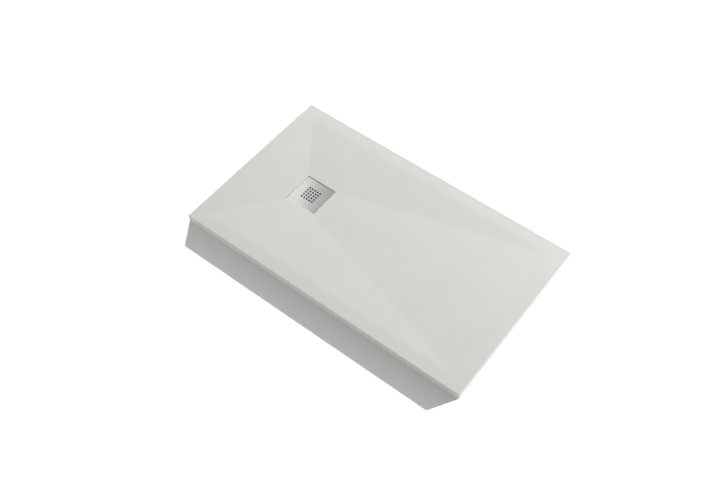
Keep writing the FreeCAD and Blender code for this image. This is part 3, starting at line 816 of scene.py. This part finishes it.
def outlet_nut():
    """Compression nut with grip ribs round it and a plain collar at each end."""
    shape = Shape()
    count = RIBS * PER_RIB
    near = NUT_END - NUT_LENGTH

    def ribbed(along, height):
        """A loop of the collar's radius, with ribs of some height."""
        points = []
        for index in range(count):
            phase = 2 * math.pi * (index % PER_RIB) / PER_RIB
            radius = COLLAR_RADIUS + height * max(0.0, math.cos(phase)) ** 0.5
            points.append(outlet_point(radius, 2 * math.pi * index / count, along))
        return points

    def tube(radius, along):
        step = 2 * math.pi / count
        return [outlet_point(radius, i * step, along) for i in range(count)]

    loops = [
        tube(NUT_BORE, near + BORE_CHAMFER),
        tube(NUT_BORE + BORE_CHAMFER, near),
        tube(COLLAR_RADIUS - NUT_CHAMFER, near),
    ]
    loops += [tube(COLLAR_RADIUS, near + along) for along in INNER_COLLAR]
    loops += [
        ribbed(near + INNER_RIBS[0], RIB_SHOULDER),
        ribbed(near + INNER_RIBS[1], RIB_HEIGHT),
        ribbed(NUT_END - OUTER_RIBS[1], RIB_HEIGHT),
        ribbed(NUT_END - OUTER_RIBS[0], RIB_SHOULDER),
        tube(COLLAR_RADIUS, NUT_END - OUTER_COLLAR[1]),
    ]
    loops += [tube(COLLAR_RADIUS - a, NUT_END - along) for a, along in NUT_TURNED]
    loops += [
        tube(NUT_HOLE + HOLE_CHAMFER, NUT_END),
        tube(NUT_HOLE, NUT_END - HOLE_CHAMFER),
        tube(NUT_HOLE, NUT_END - NUT_SHOULDER),
        tube(NUT_BORE, NUT_END - NUT_SHOULDER),
    ]
    first, last = shape.skin(loops)
    shape.bridge(last, first)
    shape.orient()
    shape.build(
        "outlet_nut_ribbed", WHITE_PLASTIC, "tray", ["outlet_nut"],
        NUT_SHARP,
    )


def outlet_thread():
    """The open turns of the spigot's thread, between the bowl and the nut."""
    shape = Shape()
    total = int(THREAD_TURNS * PER_TURN)
    root = SPIGOT_RADIUS - THREAD_SUNK
    loops = []
    for index in range(total + 1):
        angle = 2 * math.pi * index / PER_TURN
        middle = THREAD_START + TURN_PITCH * index / PER_TURN
        ease = min(1.0, index / RUN_OUT, (total - index) / RUN_OUT)
        loops.append([
            outlet_point(root + (out + THREAD_SUNK) * ease, angle, middle + along)
            for along, out in THREAD_SECTION
        ])
    first, last = shape.skin(loops)
    shape.cap(first, up=False)
    shape.cap(last)
    shape.orient()
    shape.build("outlet_thread", WHITE_PLASTIC, "tray")


outlet_nut()
outlet_thread()


# --------------------------------------------------- materials of the other nodes

FINISHES = {
    "grate_pads": RUBBER,
    "waste_flange": STEEL,
    "screw_inserts": BRASS,
    "flange_gasket": RUBBER,
    "tray_gasket": RUBBER,
    "trap_head": WHITE_PLASTIC,
    "trap_bowl": WHITE_PLASTIC,
    "trap_cup": WHITE_PLASTIC,
    "outlet_slip_washer": WHITE_PLASTIC,
    "outlet_seal": RUBBER,
    "dip_tube": GREY_PLASTIC,
    "dip_tube_seal": RUBBER,
    "hair_strainer": GREY_PLASTIC,
}
for node, finish in FINISHES.items():
    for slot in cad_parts[node].material_slots:
        slot.material = finish


# ------------------------------------------------------------------------- stage
# From here on every size is in metres.

HALF_LENGTH, HALF_WIDTH = TRAY_LENGTH / 2 * MM, TRAY_WIDTH / 2 * MM
WHITE = (1.0, 1.0, 1.0)

FLOOR_HALF = 2.4
# The floor is open under the tray, to just inside its edge.
OPEN_INSIDE = 0.003
# The floor's own grey, and the one that the camera sees, with its layers and lean.
REAL_FLOOR, SEEN_FLOOR, SEEN_LAYERS, SEEN_LEAN = 0.8, 0.622, 2, (0.0, 0.6, 0.8)

# Three zones of the seen floor are painted with shade: in front of the tray, beside its
# left end, and behind it. The edges of the zones are pairs of places. The front's shade
# fades out over its pair. The others' shade is absent at the first place and full at
# the second.
FRONT_EDGE = (-0.350, -0.346)
BESIDE_EDGE, BESIDE_FAR = (-0.598, -0.602), (-0.95, -0.75)
BEHIND_EDGE, BEHIND_FAR, BEHIND_ENDS = (0.350, 0.352), (0.62, 0.42), (0.80, 0.62)
# The painted shade of each zone runs from one tone to the other between two places.
# Painted shadow in front: the cast shadow is painted darker towards the tray's foot and
# a little lighter towards its far edge.
FRONT_RUN, FRONT_SHADOW_TONES = (-0.44, -0.35), (1.07, 0.845)
# Painted shade beside the left end and behind the tray: the lit floor is painted
# darker, by how much the lamps light it, down to just past white.
BESIDE_RUN, BESIDE_SHADE_TONES = (-0.36, 0.20), (0.94, 0.795)
BEHIND_RUN, BEHIND_SHADE_TONES = (-0.6, 0.6), (0.488, 0.399)


def floor_material():
    """White paper. The camera sees it burnt out to white outside the full shadow.

    What the camera sees isn't what lights the tray. It gets layers of the floor that
    add up and lean towards the lamps, so that their half shadows burn out, and painted
    shade: tones for the full shadow, and a darker lit floor beside the left end and
    behind the tray.
    """
    material = bpy.data.materials.new("studio_floor")
    tree = new_tree(material)
    output = tree.nodes.new("ShaderNodeOutputMaterial")
    path = tree.nodes.new("ShaderNodeLightPath")
    geometry = tree.nodes.new("ShaderNodeNewGeometry")
    place = tree.nodes.new("ShaderNodeSeparateXYZ")
    tree.links.new(geometry.outputs["Position"], place.inputs["Vector"])
    x, y = place.outputs["X"], place.outputs["Y"]

    def maths(kind, first, second=0.0):
        node = tree.nodes.new("ShaderNodeMath")
        node.operation = kind
        for socket, value in zip(node.inputs, (first, second)):
            if isinstance(value, float):
                socket.default_value = value
            else:
                tree.links.new(value, socket)
        return node.outputs["Value"]

    def ramp(value, places, numbers=(0.0, 1.0)):
        """Runs from one number to the other between two places."""
        node = tree.nodes.new("ShaderNodeMapRange")
        for socket, number in zip(node.inputs[1:5], (*places, *numbers)):
            socket.default_value = number
        tree.links.new(value, node.inputs["Value"])
        return node.outputs["Result"]

    def either(factor, first, second):
        """The first number where the factor is 0, and the second where it is 1."""
        change = maths("MULTIPLY", factor, maths("SUBTRACT", second, first))
        return maths("ADD", first, change)

    def mixed(factor, first, second):
        node = tree.nodes.new("ShaderNodeMixShader")
        tree.links.new(factor, node.inputs["Fac"])
        tree.links.new(first, node.inputs[1])
        tree.links.new(second, node.inputs[2])
        return node.outputs["Shader"]

    beside = maths("MULTIPLY", ramp(x, BESIDE_EDGE), ramp(x, BESIDE_FAR))
    behind = maths("MULTIPLY", ramp(y, BEHIND_EDGE), ramp(y, BEHIND_FAR))
    behind = maths("MULTIPLY", behind, ramp(maths("ABSOLUTE", x), BEHIND_ENDS))
    # Painted shadow tones in front of the tray, darker towards its foot.
    painted_shade = either(ramp(y, FRONT_EDGE), ramp(y, FRONT_RUN, FRONT_SHADOW_TONES), 1.0)
    # Painted shade on the lit floor beside the left end and behind the tray.
    painted_shade = either(beside, painted_shade, ramp(y, BESIDE_RUN, BESIDE_SHADE_TONES))
    painted_shade = either(behind, painted_shade, ramp(x, BEHIND_RUN, BEHIND_SHADE_TONES))

    def seen_layer():
        node = tree.nodes.new("ShaderNodeBsdfDiffuse")
        tree.links.new(maths("MULTIPLY", painted_shade, SEEN_FLOOR), node.inputs["Color"])
        way = tree.nodes.new("ShaderNodeCombineXYZ")
        for axis, value in zip("XYZ", SEEN_LEAN):
            way.inputs[axis].default_value = value
        tree.links.new(way.outputs["Vector"], node.inputs["Normal"])
        return node.outputs["BSDF"]

    bright = seen_layer()
    for _ in range(SEEN_LAYERS - 1):
        node = tree.nodes.new("ShaderNodeAddShader")
        tree.links.new(bright, node.inputs[0])
        tree.links.new(seen_layer(), node.inputs[1])
        bright = node.outputs["Shader"]
    real = tree.nodes.new("ShaderNodeBsdfDiffuse")
    real.inputs["Color"].default_value = (REAL_FLOOR, REAL_FLOOR, REAL_FLOOR, 1.0)
    sheet = mixed(path.outputs["Is Camera Ray"], real.outputs["BSDF"], bright)
    clear = tree.nodes.new("ShaderNodeBsdfTransparent").outputs["BSDF"]
    both = mixed(geometry.outputs["Backfacing"], sheet, clear)
    tree.links.new(both, output.inputs["Surface"])
    return material


def stage_sheet(name, points, faces, material):
    """A thin sheet that belongs to the stage."""
    mesh = bpy.data.meshes.new(name)
    mesh.from_pydata(points, [], faces)
    mesh.materials.append(material)
    sheet = bpy.data.objects.new(name, mesh)
    bpy.context.scene.collection.objects.link(sheet)
    return sheet


def floor():
    """A large sheet, open under the tray, where the trap hangs and light comes up."""
    far, x, y = FLOOR_HALF, HALF_LENGTH - OPEN_INSIDE, HALF_WIDTH - OPEN_INSIDE
    points = [(-far, -far, 0), (far, -far, 0), (far, far, 0), (-far, far, 0),
              (-x, -y, 0), (x, -y, 0), (x, y, 0), (-x, y, 0)]
    faces = [(0, 1, 5, 4), (1, 2, 6, 5), (2, 3, 7, 6), (3, 0, 4, 7)]
    stage_sheet("studio_floor", points, faces, floor_material())


floor()

NET_OUT, NET_LEVEL = 0.0005, 0.0297
NET_X, NET_Y = HALF_LENGTH + NET_OUT, HALF_WIDTH + NET_OUT


def lamp_net(name, start, end, light):
    """A net close to a wall that faces the low back lamps, so that it doesn't clip.

    Only the lamps' light meets it. It lets this share of what goes to that wall
    through, and stands too low to touch what reaches the top.
    """
    material = bpy.data.materials.new(name)
    tree = new_tree(material)
    net = tree.nodes.new("ShaderNodeBsdfTransparent")
    net.inputs["Color"].default_value = (light, light, light, 1.0)
    output = tree.nodes.new("ShaderNodeOutputMaterial")
    tree.links.new(net.outputs["BSDF"], output.inputs["Surface"])
    points = [(*start, 0.0), (*end, 0.0), (*end, NET_LEVEL), (*start, NET_LEVEL)]
    piece = stage_sheet(name, points, [(0, 1, 2, 3)], material)
    piece.visible_camera = piece.visible_diffuse = piece.visible_glossy = False
    piece.visible_transmission = piece.visible_volume_scatter = False


lamp_net("net_back", (-NET_X, NET_Y), (NET_X, NET_Y), light=0.2)
lamp_net("net_right", (NET_X, NET_Y), (NET_X, -NET_Y), light=0.8)

WORLD_LIGHT = (0.40, 0.40, 0.40)
# Reflections are dark but for a lobe about one way, white where the cosine of the angle
# to it is past the end.
REFLECTED_DARK = (0.448, 0.448, 0.427)
REFLECTED_WAY = Vector((-0.8707, 0.1057, 0.4803))
REFLECTED_START, REFLECTED_END = 0.776, 0.832


def studio_world():
    """White to the camera, level light on surfaces, a soft dark side in reflections."""
    world = bpy.data.worlds.new("studio_world")
    bpy.context.scene.world = world
    tree = new_tree(world)
    output = tree.nodes.new("ShaderNodeOutputWorld")
    background = tree.nodes.new("ShaderNodeBackground")
    path = tree.nodes.new("ShaderNodeLightPath")
    place = tree.nodes.new("ShaderNodeTexCoord")
    way = tree.nodes.new("ShaderNodeVectorMath")
    way.operation = "DOT_PRODUCT"
    way.inputs[1].default_value = REFLECTED_WAY
    tree.links.new(place.outputs["Generated"], way.inputs[0])
    lobe = tree.nodes.new("ShaderNodeMapRange")
    lobe.inputs["From Min"].default_value = REFLECTED_START
    lobe.inputs["From Max"].default_value = REFLECTED_END
    lobe.interpolation_type = "SMOOTHSTEP"
    tree.links.new(way.outputs["Value"], lobe.inputs["Value"])

    def chosen(factor, first, second):
        """A colour between two, each of them a socket or a constant."""
        mix = tree.nodes.new("ShaderNodeMix")
        mix.data_type = "RGBA"
        tree.links.new(factor, mix.inputs["Factor"])
        for socket, colour in ((mix.inputs[6], first), (mix.inputs[7], second)):
            if isinstance(colour, tuple):
                socket.default_value = (*colour, 1.0)
            else:
                tree.links.new(colour, socket)
        return mix.outputs[2]

    mirrored = chosen(lobe.outputs["Result"], REFLECTED_DARK, WHITE)
    colour = chosen(path.outputs["Is Glossy Ray"], WORLD_LIGHT, mirrored)
    colour = chosen(path.outputs["Is Transmission Ray"], colour, WHITE)
    colour = chosen(path.outputs["Is Camera Ray"], colour, WHITE)
    tree.links.new(colour, background.inputs["Color"])
    tree.links.new(background.outputs["Background"], output.inputs["Surface"])


studio_world()

LAMP_TARGET, LAMP_DISTANCE = Vector((0.0, 0.0, 0.03)), 5.0
HARD_LAMP, SOFT_LAMP = 0.15, 1.5


def lamp(name, azimuth, elevation, size, power):
    """A round lamp at an angle from the back (+Y) towards +X, aimed at the tray.

    It doesn't show in reflections.
    """
    a, e = math.radians(azimuth), math.radians(elevation)
    way = Vector((math.sin(a) * math.cos(e), math.cos(a) * math.cos(e), math.sin(e)))
    data = bpy.data.lights.new(name, "AREA")
    data.shape, data.size, data.energy = "DISK", size, power
    piece = bpy.data.objects.new(name, data)
    piece.location = LAMP_TARGET + way * LAMP_DISTANCE
    piece.rotation_mode = "QUATERNION"
    piece.rotation_quaternion = way.to_track_quat("Z", "Y")
    piece.visible_glossy = False
    bpy.context.scene.collection.objects.link(piece)


lamp("lamp_back_right", azimuth=39.9, elevation=14.3, size=HARD_LAMP, power=417.0)
lamp("lamp_back_left", azimuth=-42.8, elevation=13.7, size=HARD_LAMP, power=240.0)
lamp("lamp_front_low", azimuth=196.0, elevation=7.0, size=SOFT_LAMP, power=66.6)


# ------------------------------------------------------------------------ camera

CAMERA_PLACE = Vector((1.2560, -1.6023, 2.7988))
CAMERA_TARGET = Vector((0.047341, -0.011684, 0.030))
SENSOR_WIDTH, LENS = 36.0, 47.745
SHIFT_X, SHIFT_Y = -0.0355, -0.0096


def camera():
    """The photograph's camera, fitted to the tray's corners."""
    data = bpy.data.cameras.new("camera")
    data.sensor_width, data.lens = SENSOR_WIDTH, LENS
    data.shift_x, data.shift_y = SHIFT_X, SHIFT_Y
    piece = bpy.data.objects.new("camera", data)
    piece.location = CAMERA_PLACE
    piece.rotation_mode = "QUATERNION"
    piece.rotation_quaternion = (CAMERA_TARGET - CAMERA_PLACE).to_track_quat("-Z", "Y")
    bpy.context.scene.collection.objects.link(piece)
    bpy.context.scene.camera = piece


camera()
bpy.context.scene.view_settings.view_transform = "Standard"
